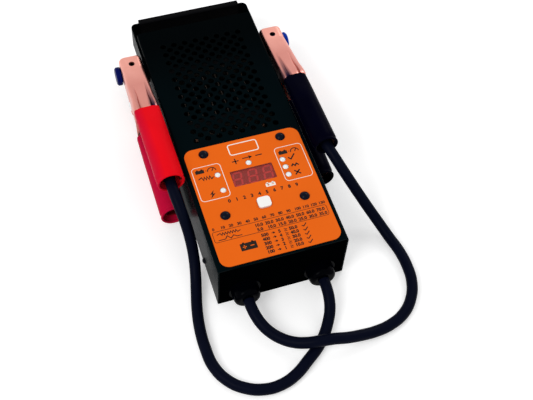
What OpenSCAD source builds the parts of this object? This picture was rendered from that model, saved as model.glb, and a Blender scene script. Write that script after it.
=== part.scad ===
// Hand-held load and charging tester for vehicle batteries: a folded sheet-steel case with a
// perforated top, a label panel with a three-digit display, two heavy leads and two sprung clamps
// parked on posts at the sides. The origin is the centre of the case's underside, +Z is up, and
// the leads come out of the front wall, on the -Y side.

/* [Case] */
// Width of the case across the outside of the cover
case_w = 110; // [104:1:124]
// Length of the case from the front wall to the rear wall
case_l = 263; // [258:1:290]
// Height of the case from the underside to the top of the cover
case_h = 53; // [50:1:62]
// Thickness of the sheet steel of the cover and the tray
sheet_t = 1.2; // [0.8:0.1:1.6]
// Outer radius of the two long folds of the cover
fold_r = 2.4; // [2:0.1:4]
// Height of the side flanges of the tray
flange_h = 11; // [9:0.5:14]

/* [Vents] */
// Diameter of each vent hole
vent_d = 5.4; // [3:0.1:5.8]
// Distance between vent holes along a row
vent_pitch = 10.2; // [9.5:0.1:11]
// Distance from one vent row to the next
vent_row_pitch = 5.1; // [4.8:0.05:5.3]
// Number of vent holes in the long rows
vent_cols = 8; // [4:1:8]
// Number of vent rows
vent_rows = 23; // [9:2:23]
// Distance from the front wall to the first vent row
vent_start = 129; // [128:1:132]

/* [Label panel] */
// Width of the label plate
label_w = 102; // [98:1:103]
// Length of the label plate
label_l = 118; // [116:1:120]
// Thickness of the label plate
label_t = 0.5; // [0.3:0.1:0.8]
// Radius of the label plate's corners
label_r = 8; // [3:1:12]
// Width of the display window
window_w = 37; // [34:0.5:39]
// Length of the display window
window_l = 15.8; // [14:0.2:17]
// Diameter of each status lamp
lamp_d = 5; // [4:0.1:5.5]
// Distance of the two lamp columns from the centre line
lamp_x = 28.6; // [27:0.2:32]
// Width of the push button's cap
button_w = 11; // [8:0.5:13]
// Length of the push button's cap
button_l = 10; // [8:0.5:12]
// Stroke of the push button
button_stroke = 0.5; // [0.3:0.1:0.6]
// Diameter of the domed screw heads on the label
dome_d = 8.6; // [7:0.2:10]

/* [Leads] */
// Diameter of the rubber leads
lead_d = 9.5; // [8:0.1:9.8]
// Distance of each lead gland from the centre line
gland_x = 32.5; // [31:0.5:34]
// Height of the glands' axis above the underside
gland_z = 16; // [15:0.5:18]
// Diameter of the glands' flange
gland_d = 27; // [25:0.5:28]
// How far a gland stands out of the front wall
gland_out = 12; // [9:0.5:14]

/* [Clamps] */
// Width of the upper jaw
jaw_w = 20; // [18:0.5:21]
// Thickness of the jaws' copper-plated sheet
jaw_t = 1.6; // [1.2:0.1:2]
// Distance from the pivot to the tips of the jaws
jaw_reach = 45.5; // [44:0.5:50]
// Outer diameter of the plastic grips
grip_d = 23.4; // [22.5:0.1:24]
// Wall thickness of the plastic grips
grip_t = 2.1; // [1.6:0.1:2.4]
// Length of the plastic grips
grip_l = 84.5; // [76:0.5:88]
// Diameter of the clamp's pivot rivet
rivet_d = 6; // [5:0.2:7]
// Wire diameter of the clamp's spring
spring_wire = 2; // [1.6:0.1:2.2]

/* [Posts and handle] */
// Diameter of the neck of each clamp post
post_d = 12; // [10:0.5:13]
// Diameter of the cap of each clamp post
post_cap_d = 17; // [15:0.5:20]
// Height of the posts, the clamps and the handle above the underside
post_z = 34; // [33.5:0.5:36]
// Width of the handle's steel strap
strap_w = 22.4; // [20:0.4:24]
// Thickness of the handle's steel strap
strap_t = 1.5; // [1:0.1:1.8]
// Reach of the handle from the posts to the outside of its crossbar
strap_reach = 49.5; // [47:0.5:60]
// Wall thickness of the handle's plastic grip
sleeve_t = 2.7; // [2:0.1:3.2]

/* [Hidden] */
$fn = 48;

// clearances
slip = 0.1;           // a piece that slides or drops into another
gap = 0.3;            // two bodies that move past each other
weld = 0.4;           // one feature of a piece sunk into another feature of it

// case
front_y = -case_l / 2;
rear_y = case_l / 2;
inner_w = case_w - 2 * sheet_t;
tray_w = inner_w - 2 * slip;
roof_z = case_h - sheet_t;
cover_lift = 0.3;
panel_z = case_h + label_t;
side_screw_z = flange_h / 2;
side_screw_d = 3;
side_head_d = 6;
side_screw_y = [front_y + 40, 0, rear_y - 41];

// label panel, measured back from the front wall
label_y = front_y + 2 + label_l / 2;
window_y = front_y + 81.2;
button_y = front_y + 52;
lamp_rows = [front_y + 73.3, front_y + 81.4, front_y + 89.4];
reverse_y = front_y + 94.3;
lamp_hole_d = lamp_d + 2 * slip + 0.2;
dome_x = 34.2;
dome_y = [front_y + 48.8, front_y + 112.9];
dome_shank_d = 3;

// circuit board hung under the panel
board_z = case_h - 10.6;
board_t = 1.6;
board_top = board_z + board_t;
board_w = 84;
board_l = 80;
board_y = (dome_y[0] + dome_y[1]) / 2;
nut_h = 2.4;

// push button
button_r = 2.6;
button_rise = 1.6;
button_flange = 1;
button_flange_t = 1.2;
stem_d = 3.2;
switch_w = 6;
switch_h = 3.6;
switch_top = board_top + switch_h;
stem_foot = switch_top - 0.7;

// glands and what the leads meet inside
gland_hole_d = 20.4;
gland_neck_d = gland_hole_d - 2 * slip;
gland_flange_t = 1.6;
gland_mouth = 1.4;
gland_nut_t = 5;
lead_r = lead_d / 2;
lead_bore_d = lead_d + 2 * slip;
lug_y = front_y + 13;
lug_barrel = 14;
lug_d = lead_d + 2.4;
palm_l = 16;
palm_t = 2.5;
palm_w = 14;
palm_z = gland_z - palm_t;
stud_d = 6;
stud_y = lug_y + lug_barrel + palm_l / 2;
bar_t = 1.5;
bar_w = 12;
bar_z = gland_z;

// load bank
run_count = 6;
run_pitch = 12;
run_t = 0.8;
run_z = gland_z + bar_t + 0.5;
run_h = 12;
ceramic_t = 7;
ceramic_w = run_count * run_pitch + 12;
ceramic_z = run_z - 4;
ceramic_top = run_z + run_h + 4;
bracket_t = 1.5;
bracket_w = tray_w - 10;
bracket_foot = 8;
bracket_y = [front_y + 162, front_y + 229, front_y + 246.5];
bracket_turn = [1, 1, -1];
run_front = bracket_y[0] - ceramic_t - 1.2;
run_rear = bracket_y[2] + ceramic_t + 1.2;
relay_y = front_y + 108;
relay_l = 28;
relay_h = 26;
ledge_w = 9;
ledge_gap = 0.5;
relay_w = 2 * (gland_x - bar_w / 2 - ledge_w - ledge_gap);

// clamps, parked beside the case
post_back = 28.5;
pivot_back = 66;
post_y = rear_y - post_back;
pivot_y = rear_y - pivot_back;
post_reach = post_y - pivot_y;
jaw_in = case_w / 2 + 3.2;
clamp_x = jaw_in + jaw_w / 2;
mesh_gap = 0.6;
notch_r = post_d / 2 + gap;
tip_top = 12;
nose_cut = 1.5;
crest_y = jaw_reach - 14;
crest_z = tip_top + 1.2;
web_r = 3;
grip_start = -22.6;
grip_low = 18.3;
grip_tilt = 2.9;
handle_r = grip_d / 2 - grip_t - slip;
handle_lap = 3;
handle_end = 4 - grip_l;
handle_cut = 4;
web_end = grip_start + 1;
web_top = grip_low + handle_r - slip;
web_slope = atan((web_top - crest_z) / (crest_y - web_end));
ear_r = 8;
lower_w = jaw_w - 2 * (jaw_t + gap);
rivet_head_d = 9;
rivet_head_t = 1.4;
rivet_bore_d = rivet_d + 0.1;
tip_hole_d = 4.8;
spring_leg = 32;
crimp_start = 28;
crimp_l = 16;
crimp_drop = 1.6;

// posts and handle
post_bush_d = 10;
post_bush_l = strap_t + 0.5;
post_cap_l = 4.5;
post_neck_l = jaw_in + jaw_w + gap - case_w / 2 - post_bush_l;
post_stud_d = 5;
post_nut_t = 4;
strap_in = case_w / 2 + 0.25;
strap_bend = 5;
sleeve_w = case_w - 13;
sleeve_r = 2;

// routes of the two leads, from the gland's mouth to the crimp inside the clamp's upper grip;
// each point is across, back from the front wall, and up
route_red = [
    [32.5, -11.1, 16], [32.5, -14.5, 16], [32.4, -19.1, 15.6], [31.6, -27.9, 13.4], [29.3, -36.8, 9.7],
    [24.8, -45.2, 6.4], [18.9, -53.5, 4.8], [10.7, -62.2, 5.1], [-1.1, -70.9, 4.8], [-13.8, -79.4, 4.8],
    [-27.9, -84.3, 4.8], [-42, -84.2, 4.8], [-55.7, -79, 4.8], [-67.1, -69.1, 4.8], [-74.6, -54.1, 4.8],
    [-76.5, -37, 4.8], [-76, -20, 4.8], [-73.5, -3, 4.8], [-70, 12, 6], [-66.5, 26, 10.5],
    [-64.4, 38, 18.5], [-64, 49, 29], [-65, 60, 39.5], [-66.6, 71, 47.2], [-67.8, 82, 51.8],
    [-68.2, 94, 53.9], [-68.2, 105, 54.2], [-68.2, 117.8, 53.5]
];
route_black = [
    [-32.5, -11.1, 16], [-32.5, -14.5, 16], [-32.2, -19, 15.7], [-30.9, -26.5, 14.5],
    [-28, -34.5, 12.5], [-23.4, -41.8, 10.7], [-16.9, -48.9, 9.9], [-8.7, -55.2, 10.6],
    [0.7, -59.9, 13.1], [10.9, -62.5, 15.4], [22.1, -64, 15.5], [34.1, -65.2, 12.8], [47, -65, 9.4],
    [60, -64, 6.5], [74, -61.5, 5.7], [88, -55.1, 5.4], [98.9, -44.4, 4.8], [106.1, -30, 4.8],
    [108.5, -14, 4.8], [107.5, 2, 5.2], [104.2, 16.5, 5.9], [100, 29.5, 9.8], [94.8, 40.8, 16.3],
    [88.8, 51, 25.5], [82.6, 61, 35.5], [77.2, 71, 44.2], [72.8, 82, 50.6], [69.6, 94, 53.8],
    [68.2, 105, 54.2], [68.2, 117.8, 53.5]
];

// ---- helpers ------------------------------------------------------------------------------

// a flat outline in X and Z, pushed from y0 along +Y
module along_y(y0, len) {
    translate([0, y0 + len, 0]) rotate([90, 0, 0]) linear_extrude(len) children();
}

// a flat outline in Y and Z, pushed from x0 along +X
module along_x(x0, len) {
    translate([x0, 0, 0]) rotate([90, 0, 90]) linear_extrude(len) children();
}

// a rectangle with round corners, centred
module round_rect(w, h, r) {
    square([w - 2 * r, h], center = true);
    square([w, h - 2 * r], center = true);
    for (x = [-1, 1], y = [-1, 1]) translate([x * (w / 2 - r), y * (h / 2 - r)]) circle(r);
}

// a rectangle standing on the X axis with its two upper corners round
module arch(w, h, r) {
    translate([-w / 2, 0]) square([w, h - r]);
    translate([-w / 2 + r, 0]) square([w - 2 * r, h]);
    for (s = [-1, 1]) translate([s * (w / 2 - r), h - r]) circle(r);
}

// a cylinder along +Y
module rod_y(d, y0, len) {
    translate([0, y0, 0]) rotate([-90, 0, 0]) cylinder(d = d, h = len);
}

// a cylinder along +X
module rod_x(d, x0, len) {
    translate([x0, 0, 0]) rotate([0, 90, 0]) cylinder(d = d, h = len);
}

function unit(v) = v / norm(v);
function heading(pts, i) =
    let (last = len(pts) - 1)
    unit(pts[min(i + 1, last)] - pts[max(i - 1, 0)]);
function ring(centre, dir, r, sides) =
    let (side = unit(cross([0.1, 0.2, 1], dir)), up = cross(dir, side))
    [for (k = [0 : sides - 1]) centre + r * (cos(360 * k / sides) * side + sin(360 * k / sides) * up)];

// a round tube swept along a list of points
module tube(pts, r, sides) {
    n = len(pts);
    points = [for (i = [0 : n - 1]) each ring(pts[i], heading(pts, i), r, sides)];
    walls = [
        for (i = [0 : n - 2], k = [0 : sides - 1])
            let (a = i * sides + k, b = i * sides + (k + 1) % sides)
            each [[a, b, b + sides], [a, b + sides, a + sides]]
    ];
    start = [for (k = [1 : sides - 2]) [0, k + 1, k]];
    far = (n - 1) * sides;
    finish = [for (k = [1 : sides - 2]) [far, far + k, far + k + 1]];
    polyhedron(concat(points), concat(walls, start, finish));
}

// ---- case -----------------------------------------------------------------------------------

module top_cover() {
    color([0.05, 0.07, 0.08])
    difference() {
        along_y(front_y, case_l) arch(case_w, case_h, fold_r);
        along_y(front_y - 1, case_l + 2) translate([0, -1])
            arch(inner_w, roof_z + 1, fold_r - sheet_t);
        // the cover's walls stop just clear of what the case stands on
        cube([case_w + 2, case_l + 2, 2 * cover_lift], center = true);
        vent_holes();
        panel_holes(roof_z - 1, sheet_t + 2);
        for (s = [-1, 1]) translate([0, post_y, post_z])
            rod_x(post_stud_d + 2 * slip, s * case_w / 2 - 3, 6);
        for (y = side_screw_y) translate([0, y, side_screw_z])
            rod_x(side_screw_d + 2 * slip, -case_w / 2 - 1, case_w + 2);
    }
}

module vent_holes() {
    for (j = [0 : vent_rows - 1]) {
        n = vent_cols - j % 2;
        for (i = [0 : n - 1])
            translate([(i - (n - 1) / 2) * vent_pitch, front_y + vent_start + j * vent_row_pitch, roof_z - 1])
                cylinder(d = vent_d, h = sheet_t + 2, $fn = 24);
    }
}

// openings that the cover and the label plate share
module panel_holes(z, h) {
    translate([0, window_y, z]) linear_extrude(h) round_rect(window_w, window_l, 0.8);
    translate([0, button_y, z]) linear_extrude(h)
        round_rect(button_w + 2 * gap, button_l + 2 * gap, button_r + gap);
    for (s = [-1, 1], y = dome_y) translate([s * dome_x, y, z])
        cylinder(d = dome_shank_d + 2 * slip, h = h);
    for (p = lamp_places()) translate([p[0], p[1], z]) cylinder(d = lamp_hole_d, h = h);
}

function lamp_places() = [
    [-lamp_x, lamp_rows[2]], [-lamp_x, lamp_rows[0]], [0, reverse_y],
    [lamp_x, lamp_rows[2]], [lamp_x, lamp_rows[1]], [lamp_x, lamp_rows[0]]
];

module base_tray() {
    wall_h = roof_z - slip;
    color([0.04, 0.05, 0.06])
    difference() {
        along_y(front_y, case_l) arch(tray_w, wall_h, fold_r - sheet_t + slip);
        translate([-tray_w / 2 + sheet_t, front_y + sheet_t, sheet_t])
            cube([tray_w - 2 * sheet_t, case_l - 2 * sheet_t, case_h]);
        // the sides are cut down to low flanges behind the front and rear walls
        translate([-tray_w / 2 - 1, front_y + sheet_t, flange_h])
            cube([tray_w + 2, case_l - 2 * sheet_t, case_h]);
        for (s = [-1, 1]) translate([s * gland_x, 0, gland_z])
            rod_y(gland_hole_d, front_y - 1, sheet_t + 2);
        for (y = side_screw_y) translate([0, y, side_screw_z])
            rod_x(side_screw_d + 2 * slip, -case_w / 2, case_w);
    }
}

module side_screws() {
    color([0.08, 0.08, 0.09])
    for (s = [-1, 1], y = side_screw_y) translate([s * case_w / 2, y, side_screw_z])
        rotate([0, s * 90, 0]) {
            translate([0, 0, -8]) cylinder(d = side_screw_d, h = 8 + weld);
            pan_head(side_head_d, 1.8);
        }
}

// a low round screw head standing on the XY plane
module pan_head(d, h) {
    r = (h * h + d * d / 4) / (2 * h);
    intersection() {
        translate([0, 0, h - r]) sphere(r, $fn = 64);
        cylinder(d = d, h = h + 1);
    }
}

module label_plate() {
    color([0.93, 0.42, 0.09])
    difference() {
        translate([0, label_y, case_h]) linear_extrude(label_t) round_rect(label_w, label_l, label_r);
        panel_holes(case_h - 1, label_t + 2);
    }
}

module display_window() {
    color([0.45, 0.08, 0.08, 0.8])
    translate([0, window_y, roof_z]) linear_extrude(sheet_t + label_t)
        round_rect(window_w - 2 * slip, window_l - 2 * slip, 0.8);
}

// three-digit module: a box with seven shallow bars cut round each figure
module display_module() {
    digit_w = window_w / 3;
    color([0.16, 0.1, 0.1])
    difference() {
        translate([-window_w / 2, window_y - window_l / 2 - 1, board_top])
            cube([window_w, window_l + 2, roof_z - board_top]);
        for (k = [-1 : 1]) translate([k * digit_w, window_y, roof_z - 0.4]) digit_bars();
    }
}

module digit_bars() {
    bar = 1.3;
    half = 5.6;
    wide = 6.2;
    linear_extrude(1) {
        for (y = [-half, 0, half]) translate([0, y]) square([wide - 1, bar], center = true);
        for (x = [-1, 1], y = [-1, 1]) translate([x * wide / 2, y * half / 2])
            square([bar, half - 1.6], center = true);
        translate([wide / 2 + 2, -half]) circle(d = bar, $fn = 24);
    }
}

// ---- circuit board and what stands on it ------------------------------------------------------

module circuit_board() {
    color([0.1, 0.3, 0.14])
    difference() {
        translate([-board_w / 2, board_y - board_l / 2, board_z]) cube([board_w, board_l, board_t]);
        for (s = [-1, 1], y = dome_y) translate([s * dome_x, y, board_z - 1])
            cylinder(d = dome_shank_d + 2 * slip, h = board_t + 2);
    }
}

module board_spacers() {
    color([0.75, 0.76, 0.78])
    for (s = [-1, 1], y = dome_y) translate([s * dome_x, y, board_top])
        difference() {
            cylinder(d = 6.5, h = roof_z - board_top);
            translate([0, 0, -1]) cylinder(d = dome_shank_d + 2 * slip, h = case_h);
        }
}

module dome_screws() {
    color([0.05, 0.05, 0.06])
    for (s = [-1, 1], y = dome_y) translate([s * dome_x, y, panel_z]) {
        pan_head(dome_d, 2.8);
        translate([0, 0, board_z - nut_h - 1 - panel_z])
            cylinder(d = dome_shank_d, h = panel_z - board_z + nut_h + 1 + weld);
    }
}

module board_nuts() {
    color([0.75, 0.76, 0.78])
    for (s = [-1, 1], y = dome_y) translate([s * dome_x, y, board_z - nut_h])
        hex_nut(5.5, nut_h, dome_shank_d);
}

// a hexagon nut standing on the XY plane
module hex_nut(across, h, bore) {
    difference() {
        cylinder(d = across / cos(30), h = h, $fn = 6);
        translate([0, 0, -1]) cylinder(d = bore + 2 * slip, h = h + 2);
    }
}

// a round status lamp that stands on the board and looks out of the panel
module lamp(place) {
    top = panel_z + 0.9;
    color([0.95, 0.95, 0.93])
    translate([place[0], place[1], board_top]) {
        cylinder(d = lamp_d + 0.8, h = 1);
        cylinder(d = lamp_d, h = top - board_top - lamp_d / 4);
        translate([0, 0, top - board_top - lamp_d / 4]) pan_head(lamp_d, lamp_d / 4);
    }
}

module lamp_load() { lamp(lamp_places()[0]); }
module lamp_charging() { lamp(lamp_places()[1]); }
module lamp_reverse() { lamp(lamp_places()[2]); }
module lamp_ok() { lamp(lamp_places()[3]); }
module lamp_weak() { lamp(lamp_places()[4]); }
module lamp_bad() { lamp(lamp_places()[5]); }

// the cap, its flange under the cover and the stem that works the switch
module push_button() {
    flange_top = roof_z - slip;
    color([0.94, 0.94, 0.92])
    translate([0, button_y, 0]) {
        translate([0, 0, flange_top - button_flange_t]) linear_extrude(button_flange_t)
            round_rect(button_w + 2 * button_flange, button_l + 2 * button_flange, button_r);
        translate([0, 0, flange_top - weld]) linear_extrude(panel_z + button_rise - flange_top + weld)
            round_rect(button_w, button_l, button_r);
        translate([0, 0, stem_foot]) cylinder(d = stem_d, h = flange_top - button_flange_t - stem_foot + weld);
    }
}

module button_switch() {
    color([0.12, 0.12, 0.13])
    difference() {
        translate([-switch_w / 2, button_y - switch_w / 2, board_top]) cube([switch_w, switch_w, switch_h]);
        translate([0, button_y, switch_top - 1.5]) cylinder(d = stem_d + 2 * slip, h = 3);
    }
}

// ---- glands, lugs and load bank inside the case ------------------------------------------------

module gland(side) {
    color([0.03, 0.03, 0.04])
    translate([side * gland_x, front_y, gland_z]) rotate([90, 0, 0])
    difference() {
        rotate_extrude() gland_outline();
        translate([0, 0, -20]) cylinder(d = lead_bore_d, h = 60);
    }
}

// half the section of a gland: flange, domed boss and the threaded neck behind the wall
module gland_outline() {
    boss_r = gland_d / 2 - 1.6;
    nose_r = lead_d / 2 + 2.8;
    round_r = 4;
    translate([0, -sheet_t - gland_nut_t]) square([gland_neck_d / 2, sheet_t + gland_nut_t + weld]);
    square([gland_d / 2, gland_flange_t]);
    polygon([
        [0, 0], [boss_r, 0], [boss_r - 0.6, gland_out - round_r],
        [nose_r, gland_out], [0, gland_out]
    ]);
    translate([boss_r - 0.8 - round_r + 0.1, gland_out - round_r]) circle(round_r);
}

module gland_left() { gland(-1); }
module gland_right() { gland(1); }

module gland_nuts() {
    color([0.08, 0.08, 0.09])
    for (s = [-1, 1]) translate([s * gland_x, front_y + sheet_t, gland_z]) rotate([-90, 0, 0])
        hex_nut(24, gland_nut_t - 1, gland_neck_d);
}

// the stretch of lead inside the gland and the lug
module lead_tail(side) {
    color([0.04, 0.04, 0.05])
    translate([side * gland_x, 0, gland_z])
        rod_y(lead_d, front_y - gland_out + gland_mouth - 0.4, lug_y - front_y + gland_out - gland_mouth + 0.4 + lug_barrel - 3);
}

module lead_tail_red() { lead_tail(1); }
module lead_tail_black() { lead_tail(-1); }

module lug(side) {
    color([0.8, 0.55, 0.4])
    translate([side * gland_x, 0, 0])
    difference() {
        union() {
            translate([0, 0, gland_z]) rod_y(lug_d, lug_y, lug_barrel);
            translate([-palm_w / 2, lug_y + lug_barrel - 2, palm_z]) cube([palm_w, palm_l + 2, palm_t]);
        }
        translate([0, 0, gland_z]) rod_y(lead_bore_d, lug_y - 1, lug_barrel - 1.9);
        translate([0, stud_y, palm_z - 1]) cylinder(d = stud_d + 2 * slip, h = palm_t + 2);
    }
}

module lug_red() { lug(1); }
module lug_black() { lug(-1); }

module terminal_block() {
    block_w = 2 * gland_x + 24;
    color([0.35, 0.2, 0.12])
    difference() {
        translate([-block_w / 2, lug_y + lug_barrel + 0.5, sheet_t])
            cube([block_w, palm_l + 2, palm_z - sheet_t]);
        for (s = [-1, 1]) translate([s * gland_x, stud_y, palm_z - 9])
            cylinder(d = stud_d + 2 * slip, h = 12);
    }
}

module terminal_screws() {
    color([0.75, 0.76, 0.78])
    for (s = [-1, 1]) translate([s * gland_x, stud_y, bar_z + bar_t]) {
        cylinder(d = 10 / cos(30), h = 4, $fn = 6);
        translate([0, 0, -bar_t - palm_t - 8]) cylinder(d = stud_d, h = bar_t + palm_t + 8 + weld);
    }
}

// copper strip with a hole at the terminal screw
module strip_end(side) {
    difference() {
        translate([side * gland_x - bar_w / 2, stud_y - 7, bar_z]) cube([bar_w, 14, bar_t]);
        translate([side * gland_x, stud_y, bar_z - 1]) cylinder(d = stud_d + 2 * slip, h = bar_t + 2);
    }
}

// from the right lug to the relay
module busbar_red() {
    ledge_x = relay_w / 2;
    color([0.8, 0.5, 0.32]) {
        strip_end(1);
        translate([gland_x - bar_w / 2, stud_y + 6.9, bar_z]) cube([bar_w, relay_y + bar_w / 2 - stud_y - 6.9, bar_t]);
        translate([ledge_x, relay_y - bar_w / 2, bar_z])
            cube([gland_x - ledge_x, bar_w, bar_t]);
    }
}

// from the left lug to the first run of the load ribbon
module busbar_black() {
    run_x = -(run_count - 1) / 2 * run_pitch - run_t / 2;
    color([0.8, 0.5, 0.32]) {
        strip_end(-1);
        translate([-gland_x - bar_w / 2, stud_y + 6.9, bar_z])
            cube([bar_w, run_front - stud_y - 6.9, bar_t]);
        translate([run_x - bar_t, run_front - 9, bar_z]) cube([bar_t, 9, run_z + run_h - bar_z]);
    }
}

// from the relay to the last run of the load ribbon
module busbar_link() {
    run_x = (run_count - 1) / 2 * run_pitch + run_t / 2;
    link_w = 8;
    link_y = relay_y + relay_l / 2 + 2;
    color([0.8, 0.5, 0.32]) {
        translate([-relay_w / 2 - ledge_w, relay_y - link_w / 2, bar_z]) cube([ledge_w, link_w, bar_t]);
        translate([-relay_w / 2 - ledge_w, relay_y - link_w / 2, bar_z])
            cube([link_w / 2, link_y + link_w - relay_y, bar_t]);
        translate([-relay_w / 2 - ledge_w, link_y, bar_z])
            cube([run_x + bar_t + relay_w / 2 + ledge_w, link_w, bar_t]);
        translate([run_x, link_y, bar_z]) cube([bar_t, run_front - link_y, bar_t]);
        translate([run_x, run_front - 9, bar_z]) cube([bar_t, 9, run_z + run_h - bar_z]);
    }
}

module load_relay() {
    color([0.12, 0.12, 0.14]) {
        translate([-relay_w / 2, relay_y - relay_l / 2, sheet_t]) cube([relay_w, relay_l, relay_h]);
        for (s = [-1, 1]) translate([s * (relay_w / 2 + ledge_w / 2 - 0.5), relay_y, 0])
            translate([-ledge_w / 2 - 0.5, -relay_l / 4, sheet_t]) cube([ledge_w + 1, relay_l / 2, bar_z - sheet_t]);
    }
}

// nickel-chrome ribbon on edge, folded to and fro across the bank
module load_element() {
    x0 = -(run_count - 1) / 2 * run_pitch;
    bend_r = run_pitch / 2;
    color([0.55, 0.52, 0.5])
    translate([0, 0, run_z]) linear_extrude(run_h) {
        for (i = [0 : run_count - 1]) {
            tail = (i == 0 || i == run_count - 1) ? 9 : 0;
            translate([x0 + i * run_pitch - run_t / 2, run_front - tail])
                square([run_t, run_rear - run_front + tail]);
        }
        for (i = [0 : run_count - 2]) {
            at_rear = i % 2 == 0;
            translate([x0 + (i + 0.5) * run_pitch, at_rear ? run_rear : run_front])
                half_ring(bend_r, run_t, at_rear ? 1 : -1);
        }
    }
}

// half a flat ring that opens towards -Y (side 1) or +Y (side -1)
module half_ring(r, t, side) {
    difference() {
        circle(r + t / 2);
        circle(r - t / 2);
        translate([-2 * r, side > 0 ? -4 * r : 0]) square([4 * r, 4 * r]);
    }
}

module run_slots(w) {
    for (i = [0 : run_count - 1])
        translate([(i - (run_count - 1) / 2) * run_pitch, 0, run_z + run_h / 2])
            cube([w, 4 * ceramic_t, run_h + 2 * gap], center = true);
}

module ceramic_bars() {
    color([0.9, 0.88, 0.82])
    for (k = [0 : 2]) translate([0, bracket_y[k], 0]) scale([1, bracket_turn[k], 1])
        difference() {
            translate([-ceramic_w / 2, -ceramic_t, ceramic_z])
                cube([ceramic_w, ceramic_t, ceramic_top - ceramic_z]);
            run_slots(run_t + 2 * gap);
        }
}

module load_brackets() {
    color([0.78, 0.79, 0.8])
    for (k = [0 : 2]) translate([0, bracket_y[k], 0]) scale([1, bracket_turn[k], 1])
        difference() {
            union() {
                translate([-bracket_w / 2, 0, sheet_t]) cube([bracket_w, bracket_t, ceramic_top + bracket_t - sheet_t]);
                translate([-bracket_w / 2, 0, sheet_t]) cube([bracket_w, bracket_foot, bracket_t]);
                translate([-bracket_w / 2, -ceramic_t, ceramic_top]) cube([bracket_w, ceramic_t + bracket_t, bracket_t]);
            }
            run_slots(3);
        }
}

// ---- posts and handle -----------------------------------------------------------------------------

// a bush against the case, the neck that the jaws grip, a cap, and a stud into the case
module clamp_post(side) {
    color([0.03, 0.06, 0.25])
    translate([side * case_w / 2, post_y, post_z]) rotate([0, side * 90, 0]) {
        cylinder(d = post_bush_d, h = post_bush_l + weld);
        translate([0, 0, post_bush_l]) cylinder(d = post_d, h = post_neck_l + weld);
        translate([0, 0, post_bush_l + post_neck_l]) rotate_extrude() polygon([
            [0, 0], [post_cap_d / 2 - 1, 0], [post_cap_d / 2, 1], [post_cap_d / 2, post_cap_l - 1.2],
            [post_cap_d / 2 - 1.2, post_cap_l], [0, post_cap_l]
        ]);
        translate([0, 0, -sheet_t - post_nut_t - 1]) cylinder(d = post_stud_d, h = sheet_t + post_nut_t + 1 + weld);
    }
}

module clamp_post_left() { clamp_post(-1); }
module clamp_post_right() { clamp_post(1); }

module post_nuts() {
    color([0.75, 0.76, 0.78])
    for (s = [-1, 1]) translate([s * (case_w / 2 - sheet_t), post_y, post_z]) rotate([0, -s * 90, 0])
        hex_nut(8, post_nut_t, post_stud_d);
}

// flat strap bent into a U behind the case, with round ends that turn on the posts
module carry_strap() {
    out_w = 2 * (strap_in + strap_t);
    rear = post_y + strap_reach;
    color([0.05, 0.05, 0.06])
    difference() {
        intersection() {
            translate([0, 0, post_z - strap_w / 2]) linear_extrude(strap_w) difference() {
                u_outline(out_w, rear, strap_bend);
                u_outline(out_w - 2 * strap_t, rear - strap_t, strap_bend - strap_t);
            }
            along_x(-case_w, 2 * case_w) {
                translate([post_y, post_z]) circle(d = strap_w);
                translate([post_y, post_z - strap_w / 2]) square([strap_reach + 1, strap_w]);
            }
        }
        for (s = [-1, 1]) translate([0, post_y, post_z])
            rod_x(post_bush_d + 2 * slip, s * case_w / 2 - 3, 6);
    }
}

// a filled U seen from above: open towards -Y, its two far corners round
module u_outline(w, rear, r) {
    translate([-w / 2, post_y - strap_w]) square([w, rear - r - post_y + strap_w]);
    translate([-w / 2 + r, post_y]) square([w - 2 * r, rear - post_y]);
    for (s = [-1, 1]) translate([s * (w / 2 - r), rear - r]) circle(r);
}

module carry_grip() {
    bar_y = post_y + strap_reach - strap_t / 2;
    color([0.04, 0.04, 0.05])
    along_x(-sleeve_w / 2, sleeve_w) translate([bar_y, post_z]) difference() {
        round_rect(strap_t + 2 * sleeve_t, strap_w + 2 * sleeve_t, sleeve_r);
        square([strap_t + 0.06, strap_w + 0.06], center = true);
    }
}

// ---- leads -----------------------------------------------------------------------------------------

module lead(route) {
    color([0.05, 0.05, 0.06])
    tube([for (p = route) p + [0, front_y, 0]], lead_r, 12);
}

module lead_red() { lead(route_red); }
module lead_black() { lead(route_black); }

// ---- clamps ------------------------------------------------------------------------------------------
// A clamp half is drawn with its pivot at the origin, its jaw along +Y and its handle along -Y.

// side view of the sheet in front of the grip: jaw, notch for the post, ear round the pivot
module half_side() {
    difference() {
        union() {
            polygon([
                [jaw_reach, mesh_gap], [jaw_reach, tip_top - nose_cut],
                [jaw_reach - 2 * nose_cut, tip_top + nose_cut], [web_end, web_top + nose_cut],
                [web_end, grip_low - 5], [-9, 5], [-6, 0], [8, 0], [13, mesh_gap]
            ]);
            circle(ear_r);
        }
        translate([post_reach, 0]) circle(notch_r);
        jaw_teeth();
    }
}

// small saw teeth along the gripping edge, behind the notch
module jaw_teeth() {
    pitch = 2.4;
    for (k = [0 : 4]) translate([14 + k * pitch, mesh_gap - 0.01])
        polygon([[0, -1], [0, 0], [pitch / 2, 1.3], [pitch, 0], [pitch, -1]]);
}

// the hollow under the web, the same side view drawn one sheet lower
module half_hollow() {
    polygon([
        [jaw_reach - jaw_t, -grip_d], [jaw_reach - jaw_t, tip_top - jaw_t - nose_cut / 2],
        [crest_y, crest_z - jaw_t], [web_end, web_top - jaw_t],
        [web_end - 1, web_top - jaw_t], [web_end - 1, -grip_d]
    ]);
}

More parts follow.
